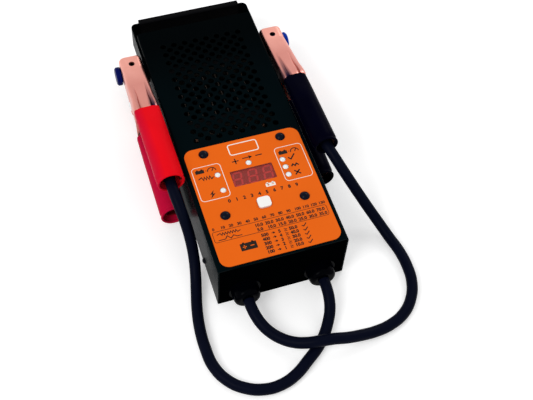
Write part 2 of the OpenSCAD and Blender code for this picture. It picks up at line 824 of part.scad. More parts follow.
// a jaw pressed from one sheet, running back into a half-round handle under the grip
module clamp_half(w) {
    inner = w - 2 * jaw_t;
    difference() {
        union() {
            difference() {
                intersection() {
                    along_x(-w / 2 - 1, w + 2) half_side();
                    jaw_round(w);
                    jaw_plan(w);
                }
                along_x(-inner / 2, inner) half_hollow();
                pressed_flutes(w);
            }
            handle_frame() difference() {
                rod_y(2 * handle_r, handle_end, handle_lap - handle_end);
                rod_y(2 * (handle_r - jaw_t), handle_end - 1, handle_lap - handle_end + 2);
                translate([-grip_d, handle_end - 1, -grip_d - handle_cut])
                    cube([2 * grip_d, handle_lap - handle_end + 2, grip_d]);
            }
        }
        rod_x(rivet_bore_d, -w, 2 * w);
        translate([0, post_reach - 1.5, 0]) cylinder(d = tip_hole_d, h = crest_z + 5);
    }
}

// the frame of the handle: origin on the grip's axis where the grip starts, tilted away
module handle_frame() {
    translate([0, grip_start, grip_low]) rotate([-grip_tilt, 0, 0]) children();
}

// rounds the two long edges of the web
module jaw_round(w) {
    tip_slope = atan((crest_z - tip_top) / (jaw_reach - nose_cut - crest_y));
    translate([0, crest_y, crest_z]) {
        rotate([-web_slope, 0, 0]) along_y(-2 * jaw_reach, 2 * jaw_reach + weld)
            translate([0, -2 * jaw_reach]) arch(w, 2 * jaw_reach, web_r);
        rotate([-tip_slope, 0, 0]) along_y(-6, 2 * jaw_reach)
            translate([0, -2 * jaw_reach]) arch(w, 2 * jaw_reach, web_r);
    }
}

// the jaw seen from above: the two corners of its tip are round
module jaw_plan(w) {
    tip_r = 1.4;
    translate([0, 0, -grip_d]) linear_extrude(3 * grip_d) {
        translate([-w / 2 - 1, -2 * jaw_reach]) square([w + 2, 3 * jaw_reach - tip_r]);
        translate([-w / 2 + tip_r, 0]) square([w - 2 * tip_r, jaw_reach + 1]);
        for (s = [-1, 1]) translate([s * (w / 2 - tip_r), jaw_reach - tip_r]) circle(tip_r);
    }
}

// two flutes pressed into the web in front of the grip, which run out towards the tip
module pressed_flutes(w) {
    flute_r = 2.8;
    flute_deep = 1.1;
    flute_rise = 2.6;
    for (s = [-1, 1])
        translate([s * (w / 2 - 4.7), web_end, web_top + flute_r - flute_deep])
            rotate([flute_rise - web_slope, 0, s * 1.5]) rod_y(2 * flute_r, -2, jaw_reach);
}

module clamp_place(side) {
    translate([side * clamp_x, pivot_y, post_z]) children();
}

module upper_jaw(side) {
    color([0.86, 0.55, 0.42]) clamp_place(side) clamp_half(jaw_w);
}

module lower_jaw(side) {
    color([0.86, 0.55, 0.42]) clamp_place(side) mirror([0, 0, 1]) clamp_half(lower_w);
}

module grip() {
    handle_frame() difference() {
        rod_y(grip_d, -grip_l, grip_l);
        rod_y(grip_d - 2 * grip_t, -grip_l - 1, grip_l + 2);
    }
}

module upper_grip(side, tint) {
    color(tint) clamp_place(side) grip();
}

module lower_grip(side, tint) {
    color(tint) clamp_place(side) mirror([0, 0, 1]) grip();
}

module rivet(side) {
    color([0.7, 0.72, 0.7]) clamp_place(side) {
        rod_x(rivet_d, -jaw_w / 2 - weld, jaw_w + 2 * weld);
        for (s = [-1, 1]) translate([s * jaw_w / 2, 0, 0]) rotate([0, s * 90, 0])
            pan_head(rivet_head_d, rivet_head_t);
    }
}

// torsion spring: a leg under each handle and three turns round the rivet
function spring_path(r, pitch, turns, leg) =
    let (
        steps = 14,
        lift = 41,
        start = 90 - lift,
        sweep = -360 * turns - 2 * start,
        n = floor(-steps * sweep / 360),
        first = [-pitch * turns / 2, r * cos(start), r * sin(start)],
        last = [pitch * turns / 2, r * cos(start + sweep), r * sin(start + sweep)]
    )
    concat(
        [first + leg * [0, -cos(lift), sin(lift)]],
        [for (k = [0 : n]) let (a = start + sweep * k / n)
            [pitch * turns * (k / n - 0.5), r * cos(a), r * sin(a)]],
        [last + leg * [0, -cos(lift), -sin(lift)]]
    );

module spring(side) {
    color([0.6, 0.62, 0.64]) clamp_place(side)
        tube(spring_path(rivet_d / 2 + spring_wire / 2 + 0.6, spring_wire + 0.4, 2, spring_leg), spring_wire / 2, 8);
}

// copper ferrule under the upper handle that holds the end of the lead
module crimp(side) {
    color([0.85, 0.55, 0.42]) clamp_place(side) handle_frame()
    difference() {
        union() {
            translate([0, 0, -crimp_drop]) rod_y(lead_d + 2.4, -grip_l + crimp_start, crimp_l);
            translate([-2, -grip_l + crimp_start, 0]) cube([4, crimp_l, handle_r - jaw_t - gap]);
        }
        translate([0, 0, -crimp_drop]) rod_y(lead_bore_d, -grip_l + crimp_start - 1, crimp_l - 3);
    }
}

red_tint = [0.86, 0.08, 0.1];
black_tint = [0.05, 0.05, 0.07];
module red_upper_jaw() { upper_jaw(-1); }
module red_lower_jaw() { lower_jaw(-1); }
module red_upper_grip() { upper_grip(-1, red_tint); }
module red_lower_grip() { lower_grip(-1, red_tint); }
module red_rivet() { rivet(-1); }
module red_spring() { spring(-1); }
module red_crimp() { crimp(-1); }
module black_upper_jaw() { upper_jaw(1); }
module black_lower_jaw() { lower_jaw(1); }
module black_upper_grip() { upper_grip(1, black_tint); }
module black_lower_grip() { lower_grip(1, black_tint); }
module black_rivet() { rivet(1); }
module black_spring() { spring(1); }
module black_crimp() { crimp(1); }

top_cover();
base_tray();
label_plate();
display_window();
display_module();
circuit_board();
board_spacers();
dome_screws();
board_nuts();
lamp_load();
lamp_charging();
lamp_reverse();
lamp_ok();
lamp_weak();
lamp_bad();
push_button();
button_switch();
load_relay();
terminal_block();
terminal_screws();
lug_red();
lug_black();
lead_tail_red();
lead_tail_black();
busbar_red();
busbar_black();
busbar_link();
load_element();
ceramic_bars();
load_brackets();
gland_left();
gland_right();
gland_nuts();
side_screws();
clamp_post_left();
clamp_post_right();
post_nuts();
carry_strap();
carry_grip();
lead_red();
lead_black();
red_upper_jaw();
red_lower_jaw();
red_upper_grip();
red_lower_grip();
red_rivet();
red_spring();
red_crimp();
black_upper_jaw();
black_lower_jaw();
black_upper_grip();
black_lower_grip();
black_rivet();
black_spring();
black_crimp();
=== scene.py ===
import math

import bpy
from mathutils import Matrix, Vector


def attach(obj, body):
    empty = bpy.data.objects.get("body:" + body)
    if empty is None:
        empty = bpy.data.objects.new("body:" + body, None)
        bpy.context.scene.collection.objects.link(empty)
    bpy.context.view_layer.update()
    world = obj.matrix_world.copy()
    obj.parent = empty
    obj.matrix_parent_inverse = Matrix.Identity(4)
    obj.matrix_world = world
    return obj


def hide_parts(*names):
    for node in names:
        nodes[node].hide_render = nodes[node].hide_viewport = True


# ---- the tester's frame ---------------------------------------------------------------------
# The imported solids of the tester: a folded sheet-steel case that lies on its back, with its
# label up. Lengths below are in millimetres, and become metres where a mesh is made.

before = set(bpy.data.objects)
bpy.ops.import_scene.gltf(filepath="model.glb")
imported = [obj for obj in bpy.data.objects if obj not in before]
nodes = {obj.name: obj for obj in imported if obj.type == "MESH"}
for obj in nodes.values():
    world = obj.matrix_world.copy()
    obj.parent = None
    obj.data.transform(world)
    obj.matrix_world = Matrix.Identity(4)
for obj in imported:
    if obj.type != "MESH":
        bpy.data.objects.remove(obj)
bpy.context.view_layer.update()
MM = 0.001
case_l, case_h = 263.0, 53.0
front_y = -case_l / 2


def at(across, back, up):
    """A point in metres, from millimetres across, back from the front wall, and up."""
    return Vector((across * MM, (front_y + back) * MM, up * MM))


# ---- camera ---------------------------------------------------------------------------------
# A studio camera above the lead end of the tester, a little to its left, looking down at the
# label, and rolled so that the case leans.

camera_place = (-0.1582, -0.4792, 0.6981)
camera_forward = Vector((0.2071, 0.5172, -0.8305)).normalized()
camera_right = Vector((0.9493, -0.3116, 0.0427)).normalized()

camera_up = camera_right.cross(camera_forward)
camera_data = bpy.data.cameras.new("studio_camera")
camera_data.sensor_width = 36
camera_data.lens = 63.8
camera = bpy.data.objects.new("studio_camera", camera_data)
bpy.context.scene.collection.objects.link(camera)
camera.matrix_world = Matrix.Translation(camera_place) @ Matrix(
    (camera_right, camera_up, -camera_forward)
).transposed().to_4x4()
bpy.context.scene.camera = camera

# ---- leads ----------------------------------------------------------------------------------
# Two heavy rubber-covered copper leads. Each comes out of a gland, lies on the table in one
# loose loop, crosses to the other side and goes up into the clamp's upper grip.


class Sock:
    """A value in a node tree, on which plain arithmetic adds the Math nodes that it needs."""

    def __init__(self, web, socket):
        self.web, self.socket = web, socket

    def maths(self, operation, *values):
        return self.web.node("ShaderNodeMath", {"operation": operation}, dict(enumerate(values)))

    def __add__(self, other):
        return self.maths("ADD", self, other)

    def __mul__(self, other):
        return self.maths("MULTIPLY", self, other)

    def __sub__(self, other):
        return self.maths("SUBTRACT", self, other)

    def __rsub__(self, other):
        return self.maths("SUBTRACT", other, self)

    def __truediv__(self, other):
        return self.maths("DIVIDE", self, other)

    def __abs__(self):
        return self.maths("ABSOLUTE", self)

    def held(self, low, high):
        return self.maths("MINIMUM", self.maths("MAXIMUM", self, low), high)

    __radd__ = __add__
    __rmul__ = __mul__


class Web:
    """The nodes of one material or of the world."""

    def __init__(self, tree):
        self.tree = tree

    def join(self, value, socket):
        if isinstance(value, Sock):
            self.tree.links.new(value.socket, socket)
        elif isinstance(value, tuple) and len(value) == 3 and socket.type == "RGBA":
            socket.default_value = (*value, 1)
        else:
            socket.default_value = value

    def node(self, kind, settings, sockets, out=0):
        made = self.tree.nodes.new(kind)
        for name, value in settings.items():
            if name == "stops":
                ramp = made.color_ramp.elements
                while len(ramp) < len(value):
                    ramp.new(0.5)
                for element, (place, level) in zip(ramp, value):
                    element.position = place
                    element.color = (level, level, level, 1)
            else:
                setattr(made, name, value)
        for name, value in sockets.items():
            self.join(value, made.inputs[name])
        return Sock(self, made.outputs[out])


class Finish(Web):
    """A material with a Principled shader, whose sockets take numbers, colours or Socks."""

    def __init__(self, name, sockets):
        self.material = bpy.data.materials.new(name)
        self.material.use_nodes = True
        super().__init__(self.material.node_tree)
        self.shader = self.tree.nodes["Principled BSDF"]
        self.surface(sockets)

    def surface(self, sockets):
        for name, value in sockets.items():
            self.join(value, self.shader.inputs[name])

    def grain(self, size, detail=2.0, rough=0.5, stretch=(1, 1, 1)):
        """Cloudy noise whose patches are about size metres across."""
        place = self.node("ShaderNodeTexCoord", {}, {}, out="Object")
        spread = self.node("ShaderNodeMapping", {}, {"Vector": place, "Scale": stretch})
        sockets = {"Vector": spread, "Scale": 1 / size, "Detail": detail, "Roughness": rough}
        return self.node("ShaderNodeTexNoise", {}, sockets)

    def place(self, axis):
        """Where on the tester a point lies along X, Y or Z, in metres."""
        spot = self.node("ShaderNodeTexCoord", {}, {}, out="Object")
        return self.node("ShaderNodeSeparateXYZ", {}, {0: spot}, out=axis)

    def ramp(self, value, *stops):
        return self.node("ShaderNodeValToRGB", {"stops": stops}, {"Fac": value})

    def blend(self, mask, low, high):
        """The colour low where mask is 0, and high where it is 1."""
        settings = {"data_type": "RGBA"}
        return self.node("ShaderNodeMix", settings, {0: mask, 6: low, 7: high}, out=2)

    def bump(self, height, distance, strength=1.0):
        sockets = {"Height": height, "Distance": distance, "Strength": strength}
        self.surface({"Normal": self.node("ShaderNodeBump", {}, sockets)})

    def on(self, *names):
        """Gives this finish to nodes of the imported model."""
        for name in names:
            mesh = nodes[name].data
            mesh.materials.clear()
            mesh.materials.append(self.material)


lead_d = 9.5
lead_black = Finish("lead_jacket", {"Specular IOR Level": 0.018})
lead_smear = lead_black.grain(0.012, 3.0)
lead_rubber = lead_black.blend(lead_smear, (0.0012, 0.002, 0.007), (0.0026, 0.0038, 0.012))
lead_black.surface({"Base Color": lead_rubber, "Roughness": 0.3 + 0.16 * lead_smear})
lead_black.bump(lead_black.grain(0.0009, 2.0), 0.00003)

# each point is across, back from the front wall, and up
route_red = [
    (32.5, -11.1, 16), (32.5, -14.5, 16), (32.4, -19.1, 15.6), (31.6, -27.9, 13.4),
    (29.3, -36.8, 9.7), (24.8, -45.2, 6.4), (18.9, -53.5, 4.8), (10.7, -62.2, 5.1),
    (-1.1, -70.9, 4.8), (-13.8, -79.4, 4.8), (-27.9, -84.3, 4.8), (-42, -84.2, 4.8),
    (-55.7, -79, 4.8), (-67.1, -69.1, 4.8), (-74.6, -54.1, 4.8), (-76.5, -37, 4.8),
    (-76, -20, 4.8), (-73.5, -3, 4.8), (-70, 12, 6), (-66.5, 26, 10.5), (-64.4, 38, 18.5),
    (-64, 49, 29), (-65, 60, 39.5), (-66.6, 71, 47.2), (-67.8, 82, 51.8), (-68.2, 94, 53.9),
    (-68.2, 105, 54.2), (-68.2, 117.8, 53.5),
]
route_black = [
    (-32.5, -11.1, 16), (-32.5, -14.5, 16), (-32.2, -19, 15.7), (-30.9, -26.5, 14.5),
    (-28, -34.5, 12.5), (-23.4, -41.8, 10.7), (-16.9, -48.9, 9.9), (-8.7, -55.2, 10.6),
    (0.7, -59.9, 13.1), (10.9, -62.5, 15.4), (22.1, -64, 15.5), (34.1, -65.2, 12.8),
    (47, -65, 9.4), (60, -64, 6.5), (74, -61.5, 5.7), (88, -55.1, 5.4), (98.9, -44.4, 4.8),
    (106.1, -30, 4.8), (108.5, -14, 4.8), (107.5, 2, 5.2), (104.2, 16.5, 5.9), (100, 29.5, 9.8),
    (94.8, 40.8, 16.3), (88.8, 51, 25.5), (82.6, 61, 35.5), (77.2, 71, 44.2), (72.8, 82, 50.6),
    (69.6, 94, 53.8), (68.2, 105, 54.2), (68.2, 117.8, 53.5),
]


def lay_lead(node, route):
    spline_data = bpy.data.curves.new(node + "_jacket", "CURVE")
    spline_data.dimensions = "3D"
    spline_data.bevel_depth = lead_d / 2 * MM
    spline_data.bevel_resolution = 7
    spline_data.resolution_u = 8
    spline_data.use_fill_caps = True
    spline = spline_data.splines.new("BEZIER")
    spline.bezier_points.add(len(route) - 1)
    for knot, point in zip(spline.bezier_points, route):
        knot.co = at(*point)
        knot.handle_left_type = knot.handle_right_type = "AUTO"
    spline_data.materials.append(lead_black.material)
    lead = bpy.data.objects.new(node + "_jacket", spline_data)
    bpy.context.scene.collection.objects.link(lead)
    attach(lead, "tester")
    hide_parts(node)
    at(*route[0])


lay_lead("lead_red", route_red)
lay_lead("lead_black", route_black)
lead_black.on("lead_tail_red", "lead_tail_black")

# ---- case -----------------------------------------------------------------------------------
# The cover is one sheet of 1.2 mm steel folded down at both sides and punched with 173 vents.
# It drops over a tray that has the front and rear walls. Both are baked gloss black enamel.

roof_z = case_h - 1.2
vent_d, vent_pitch, vent_row_pitch, vent_rows = 5.4, 10.2, 5.1, 23
vent_start = 129.0
lip_w, lip_h, lip_steps = 0.42, 0.14, 28

enamel = Finish("case_enamel", {"Specular IOR Level": 0.006})
enamel_cloud = enamel.grain(0.05, 4.0, 0.6)
enamel_speck = enamel.ramp(enamel.grain(0.0016, 2.0), (0.66, 0.0), (0.74, 1.0))
# painted shade: the enamel is a deeper black towards the rear
enamel_coat = enamel.blend(enamel_cloud, (0.0003, 0.0022, 0.003), (0.0008, 0.0038, 0.005))
enamel_rear_shade = ((enamel.place("Y") - 0.03) * 9.0).held(0.0, 0.7)
enamel.surface(
    {
        "Base Color": enamel.blend(enamel_rear_shade, enamel_coat, (0.0001, 0.0002, 0.0003)),
        "Roughness": 0.2 + 0.12 * enamel_cloud + 0.12 * enamel_speck,
    }
)
enamel.bump(enamel.grain(0.0011, 1.0), 0.00004, 0.5)
enamel.on("top_cover", "carry_strap")
tray_enamel = Finish("tray_enamel", {"Specular IOR Level": 0.0})
tray_cloud = tray_enamel.grain(0.04, 4.0, 0.6)
tray_black = tray_enamel.blend(tray_cloud, (0.0001, 0.0003, 0.0004), (0.0004, 0.0008, 0.001))
tray_enamel.surface({"Base Color": tray_black, "Roughness": 0.26 + 0.14 * tray_cloud})
tray_enamel.on("base_tray")


def make_piece(name, points, faces, finish, body, smooth=True):
    """A mesh piece from points in metres, which rides on one body of the tester."""
    mesh = bpy.data.meshes.new(name)
    mesh.from_pydata([tuple(p) for p in points], [], faces)
    mesh.validate()
    mesh.materials.append(finish.material)
    for face in mesh.polygons:
        face.use_smooth = smooth
    piece = bpy.data.objects.new(name, mesh)
    bpy.context.scene.collection.objects.link(piece)
    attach(piece, body)
    return piece


def turn_rings(profile, steps):
    """Points and faces of a profile of (radius, height) pairs turned once round +Z, in mm."""
    points = [
        Vector((r * math.cos(a), r * math.sin(a), z))
        for r, z in profile
        for a in (2 * math.pi * k / steps for k in range(steps))
    ]
    faces = []
    for i in range(len(profile) - 1):
        for k in range(steps):
            low, high, after = i * steps, (i + 1) * steps, (k + 1) % steps
            faces.append((low + k, low + after, high + after, high + k))
    return points, faces


def vent_lips():
    """The burnished rim that the punch leaves round each vent."""
    r = vent_d / 2
    profile = [
        (r + lip_w, 0.0), (r + lip_w * 0.6, lip_h * 0.8), (r + lip_w * 0.3, lip_h),
        (r, lip_h * 0.6), (r - 0.05, -0.5),
    ]
    ring_points, ring_faces = turn_rings(profile, lip_steps)
    points, faces = [], []
    for row in range(vent_rows):
        count = 8 - row % 2
        for i in range(count):
            centre = at((i - (count - 1) / 2) * vent_pitch, vent_start + row * vent_row_pitch, case_h)
            first = len(points)
            points += [centre + p * MM for p in ring_points]
            faces += [tuple(first + v for v in reversed(face)) for face in ring_faces]
    return make_piece("vent_lips", points, faces, enamel, "tester")


vent_lips()

# ---- label panel ----------------------------------------------------------------------------
# A plate of orange polycarbonate, screen-printed in white and black with frames, signs and plain
# numbers, and held with the circuit board behind it by four domed screws.

panel_z = case_h + 0.5
ink_z = panel_z + 0.04

label_film = Finish("label_film", {"Specular IOR Level": 0.05})
film_cloud = label_film.grain(0.03, 3.0)
label_film.surface(
    {
        "Base Color": label_film.blend(film_cloud, (0.75, 0.118, 0.005), (0.8, 0.132, 0.007)),
        "Roughness": 0.36 + 0.14 * film_cloud,
    }
)
label_film.bump(label_film.grain(0.0004, 1.0), 0.00001, 0.4)
label_film.on("label_plate")


def ink(name, colour):
    made = Finish(name, {"Base Color": colour, "Specular IOR Level": 0.12})
    made.surface({"Roughness": 0.4 + 0.25 * made.grain(0.0015, 3.0)})
    return made


white_ink = ink("white_ink", (0.86, 0.83, 0.76))
black_ink = ink("black_ink", (0.012, 0.008, 0.006))


class Print:
    """Flat marks of one ink on the panel, in millimetres across and back from the front wall."""

    def __init__(self, finish, up=ink_z):
        self.finish, self.up = finish, up
        self.points, self.faces = [], []

    def area(self, outline):
        first = len(self.points)
        self.points += [at(x, y, self.up) for x, y in outline]
        self.faces.append(tuple(range(first, first + len(outline))))

    def line(self, path, width, closed=False):
        """A stroke of even width along a path of places."""
        count = len(path)
        edges = []
        for i, (x, y) in enumerate(path):
            before = path[(i - 1) % count] if closed or i else path[i]
            after = path[(i + 1) % count] if closed or i < count - 1 else path[i]
            along_in = Vector((x - before[0], y - before[1]))
            along_out = Vector((after[0] - x, after[1] - y))
            along = along_in.normalized() + along_out.normalized()
            along.normalize()
            across = Vector((-along.y, along.x))
            reach = width / 2
            if along_in.length and along_out.length:
                reach /= max(0.5, abs(across.dot(Vector((-along_out.y, along_out.x)).normalized())))
            dx, dy = across * reach
            edges.append(((x + dx, y + dy), (x - dx, y - dy)))
        pairs = list(zip(edges, edges[1:] + (edges[:1] if closed else [])))
        for (left, right), (next_left, next_right) in pairs if closed else pairs[: count - 1]:
            self.area([right, next_right, next_left, left])

    def round_box(self, x0, y0, x1, y1, radius, width=None):
        """A box with round corners: a frame where width is given, and otherwise a filled area."""
        path = []
        corners = ((x1, y1, 0), (x0, y1, 90), (x0, y0, 180), (x1, y0, 270))
        for x, y, start in corners:
            cx = x - math.copysign(radius, x - (x0 + x1) / 2)
            cy = y - math.copysign(radius, y - (y0 + y1) / 2)
            for k in range(7):
                angle = math.radians(start + 15 * k)
                path.append((cx + radius * math.cos(angle), cy + radius * math.sin(angle)))
        if width:
            self.line(path, width, closed=True)
        else:
            self.area(path)

    def figures(self, text, x, y, height, weight=0.0, slant=0.0):
        """Plain numbers set at a place, in the built-in face."""
        letters = bpy.data.curves.new("figures", "FONT")
        letters.body = text
        letters.size = height / 0.72
        letters.offset = weight
        letters.shear = slant
        letters.resolution_u = 3
        setting = bpy.data.objects.new("figures", letters)
        bpy.context.scene.collection.objects.link(setting)
        shape = setting.evaluated_get(bpy.context.evaluated_depsgraph_get()).to_mesh()
        first = len(self.points)
        self.points += [at(x + v.co.x, y + v.co.y, self.up) for v in shape.vertices]
        self.faces += [tuple(first + v for v in face.vertices) for face in shape.polygons]
        bpy.data.objects.remove(setting)
        bpy.data.curves.remove(letters)

    def finish_as(self, name):
        return make_piece(name, self.points, self.faces, self.finish, "tester", False)


white = Print(white_ink)
black = Print(black_ink)

# frames round the two groups of lamps, the bare badge place and the starter table
white.round_box(-48.8, 66.3, -24.0, 100.8, 3.2, 0.5)
white.round_box(24.5, 66.8, 48.5, 101.9, 3.2, 0.5)
white.round_box(-12.6, 105.3, 12.7, 116.2, 2.0, 0.9)
black.round_box(-49.4, 25.8, 47.7, 35.9, 1.8, 0.4)


# the battery sign beside the display, white with its signs left open
def battery_sign(sheet, x, y, w, h):
    sheet.round_box(x, y, x + w, y + h, 0.5)
    for post_x in (x + w * 0.22, x + w * 0.78):
        sheet.round_box(post_x - 0.8, y + h - 0.5, post_x + 0.8, y + h + 0.9, 0.1)


battery_sign(white, 6.6, 66.0, 8.4, 3.4)

# signs beside the lamps: a tick, a wave and a cross for good, weak and bad, and the two states
black.line([(33.6, 89.9), (35.5, 87.6), (39.9, 92.4)], 1.2)
black.line([(33.6, 80.2), (35.2, 82.2), (36.8, 80.2), (38.4, 82.2), (40.0, 80.2)], 1.2)
black.line([(34.2, 71.2), (39.0, 75.6)], 1.2)
black.line([(34.2, 75.6), (39.0, 71.2)], 1.2)
zigzag = [(-43.6 + k * 1.15, 88.6 + (1.6 if k % 2 else -1.6)) for k in range(1, 9)]
black.line([(-45.4, 88.6), *zigzag, (-32.4, 88.6)], 0.9)
black.area([(-36.4, 75.6), (-40.6, 71.4), (-38.4, 71.9), (-40.4, 67.8), (-35.4, 72.4), (-37.8, 72.0)])
black.line([(-4.0, 99.6), (3.6, 99.6)], 0.9)
black.line([(1.6, 101.0), (3.9, 99.6), (1.6, 98.2)], 0.9)
black.line([(-13.4, 98.4), (-7.6, 98.4)], 1.0)
black.line([(-10.5, 95.5), (-10.5, 101.3)], 1.0)
black.line([(7.6, 99.6), (13.4, 99.6)], 1.0)

# over each group a battery and a dial
for x in (-46.2, 27.2):
    black.round_box(x, 94.2, x + 7.6, 97.6, 0.4)
    black.round_box(x + 1.2, 97.2, x + 2.6, 98.5, 0.1)
    black.round_box(x + 5.0, 97.2, x + 6.4, 98.5, 0.1)
    arc = [math.radians(a) for a in range(0, 181, 20)]
    black.line([(x + 14.0 + 3.6 * math.cos(a), 94.6 + 3.6 * math.sin(a)) for a in arc], 0.8)
    black.line([(x + 14.0, 94.6), (x + 15.9, 97.4)], 0.8)
    black.line([(x + 8.8, 95.9), (x + 9.6, 95.9)], 0.7)

# plain running numbers: a scale under the display, a heading scale, two rows, and five lines
for k in range(10):
    black.figures(str(k), -28.0 + 6.5 * k, 60.0, 3.2, 0.2)
for k in range(14):
    black.figures(f"{10 * k}", -48.4 + 7.0 * k, 37.3, 2.6, 0.15)
for k in range(7):
    black.figures(f"{10 + 10 * k}.0", -14.4 + 8.85 * k, 31.2, 2.9, 0.17)
    black.figures(f"{5 + 5 * k}.0", -13.6 + 8.85 * k, 26.9, 2.9, 0.17)
for k in range(5):
    y = 20.9 - 4.05 * k
    black.figures(f"{500 - 100 * k}", -12.2, y, 2.9, 0.19)
    black.line([(-3.6, y + 1.4), (-1.2, y + 1.4)], 0.6)
    black.line([(-2.2, y + 2.3), (-0.9, y + 1.4), (-2.2, y + 0.5)], 0.6)
    black.figures(str(5 - k), 2.2, y, 2.9, 0.19)
    black.line([(7.2, y + 2.6), (9.6, y + 1.7), (7.2, y + 0.9)], 0.55)
    black.line([(7.2, y + 0.1), (9.6, y + 0.1)], 0.5)
    black.figures(f"{50 - 10 * k}.0", 11.4, y, 2.9, 0.19)
    black.line([(22.2, y + 1.3), (23.6, y + 0.2), (26.4, y + 2.8)], 0.8)

# signs at the start of the table's rows and of the lines
small_zigzag = [(-44.4 + 1.1 * k, 32.6 + (1.1 if k % 2 else -1.1)) for k in range(1, 15)]
black.line([(-46.2, 32.6), *small_zigzag, (-26.4, 32.6)], 0.7)
crank = [(-46.2, 27.4), (-40.4, 27.4), (-38.4, 30.0), (-35.8, 27.0), (-33.2, 29.4), (-30.6, 27.6)]
black.line([*crank, (-26.4, 27.6)], 0.7)
battery_sign(black, -31.4, 12.6, 13.6, 6.8)
signs = Print(label_film, ink_z + 0.02)
signs.line([(-29.6, 16.0), (-26.4, 16.0)], 0.8)
signs.line([(-28.0, 14.4), (-28.0, 17.6)], 0.8)
signs.line([(-23.2, 16.0), (-20.0, 16.0)], 0.8)
signs.line([(7.8, 67.7), (10.0, 67.7)], 0.6)
signs.line([(8.9, 66.6), (8.9, 68.8)], 0.6)
signs.line([(11.6, 67.7), (13.8, 67.7)], 0.6)

white.finish_as("print_white")
black.finish_as("print_black")
signs.finish_as("print_signs")

# ---- display --------------------------------------------------------------------------------
# A three-figure seven-segment module behind a red acrylic filter. It is off, so its segments
# show only as paler bars in the dark red.

window_y = 81.2
figure_h, figure_w, bar_w, figure_pitch = 14.6, 8.6, 1.7, 13.3
figure_slant = math.tan(math.radians(8))

filter_red = Finish("red_filter", {"Base Color": (0.3, 0.045, 0.035), "Alpha": 0.5})
filter_haze = 0.14 + 0.12 * filter_red.grain(0.008, 2.0)
filter_red.surface({"Specular IOR Level": 0.12, "Roughness": filter_haze})
filter_red.on("display_window")
module_face = Finish("module_face", {"Base Color": (0.3, 0.03, 0.026)})
module_face.surface({"Roughness": 0.4 + 0.2 * module_face.grain(0.002)})
module_face.on("display_module")
segment_glow = Finish("segment_bar", {"Base Color": (1.0, 0.07, 0.075)})
segment_glow.surface({"Roughness": 0.4 + 0.15 * segment_glow.grain(0.001)})

module_plate = Print(module_face, roof_z + 0.06)
module_plate.round_box(-18.2, window_y - 7.6, 18.2, window_y + 7.6, 0.4)
module_plate.finish_as("display_plate")
segments = Print(segment_glow, roof_z + 0.12)


def segment(cx, ends):
    """One bar with pointed ends, between two places of a figure, leaning with it."""
    (x0, y0), (x1, y1) = ends
    along = Vector((x1 - x0, y1 - y0)).normalized()
    across = Vector((-along.y, along.x)) * bar_w / 2
    gap, tip = 0.25, bar_w / 2
    a = Vector((x0, y0)) + along * gap
    b = Vector((x1, y1)) - along * gap
    near, far = a + along * tip, b - along * tip
    ring = [a, near - across, far - across, b, far + across, near + across]
    segments.area([(cx + p.x + p.y * figure_slant, window_y + p.y) for p in ring])


half_h, half_w = (figure_h - bar_w) / 2, (figure_w - bar_w) / 2
for k in (-1, 0, 1):
    cx = k * figure_pitch - 0.3
    for y in (-half_h, 0, half_h):
        segment(cx, ((-half_w, y), (half_w, y)))
    for x in (-half_w, half_w):
        segment(cx, ((x, -half_h), (x, 0)))
        segment(cx, ((x, 0), (x, half_h)))
    dot_x = cx + half_w + 1.3
    segments.round_box(dot_x, window_y - half_h - 0.8, dot_x + 1.5, window_y - half_h + 0.7, 0.6)
segments.finish_as("display_segments")

# ---- lamps, button and screws ---------------------------------------------------------------
# Milky 5 mm lamps stand up through the panel beside their signs. The button is a white moulded
# cap, and the domed screws are gloss black.

lamp_lens = Finish(
    "lamp_lens", {"Base Color": (0.93, 0.92, 0.88), "Roughness": 0.2, "Subsurface Weight": 0.2}
)
lamp_lens.surface({"Roughness": 0.15 + 0.15 * lamp_lens.grain(0.002)})
lamp_lens.on("lamp_load", "lamp_charging", "lamp_reverse", "lamp_ok", "lamp_weak", "lamp_bad")
button_cap = Finish("button_cap", {"Base Color": (0.88, 0.87, 0.84), "Roughness": 0.32})
button_cap.surface({"Roughness": 0.28 + 0.12 * button_cap.grain(0.003)})
button_cap.on("push_button")
screw_black = Finish("screw_black", {"Specular IOR Level": 0.07})
screw_gloss = 0.18 + 0.14 * screw_black.grain(0.002)
screw_black.surface({"Base Color": (0.001, 0.002, 0.009), "Roughness": screw_gloss})
screw_black.on("dome_screws", "side_screws")

# ---- glands ---------------------------------------------------------------------------------
# Moulded nylon glands, each with a flange on the front wall and a domed boss that holds the
# lead; a plastic nut clamps it behind the wall.

nylon = Finish("gland_nylon", {"Specular IOR Level": 0.012})
nylon_gloss = 0.06 + 0.08 * nylon.grain(0.004, 2.0)
nylon.surface({"Base Color": (0.0002, 0.0004, 0.0012), "Roughness": nylon_gloss})
nylon.bump(nylon.grain(0.0012, 1.0), 0.00004, 0.5)
nylon.on("gland_left", "gland_right")

# ---- clamps ---------------------------------------------------------------------------------
# Each clamp is two pressed, copper-plated halves on a rivet, with a torsion spring between the
# handles and a thick dipped grip on each handle.

copper = Finish("clamp_copper", {"Metallic": 1.0})
copper_cloud = copper.grain(0.012, 4.0, 0.6)
copper_draw = copper.grain(0.0012, 2.0, 0.5, (1, 0.06, 1))
copper_plate = copper.blend(copper_cloud, (0.74, 0.3, 0.24), (0.9, 0.43, 0.36))
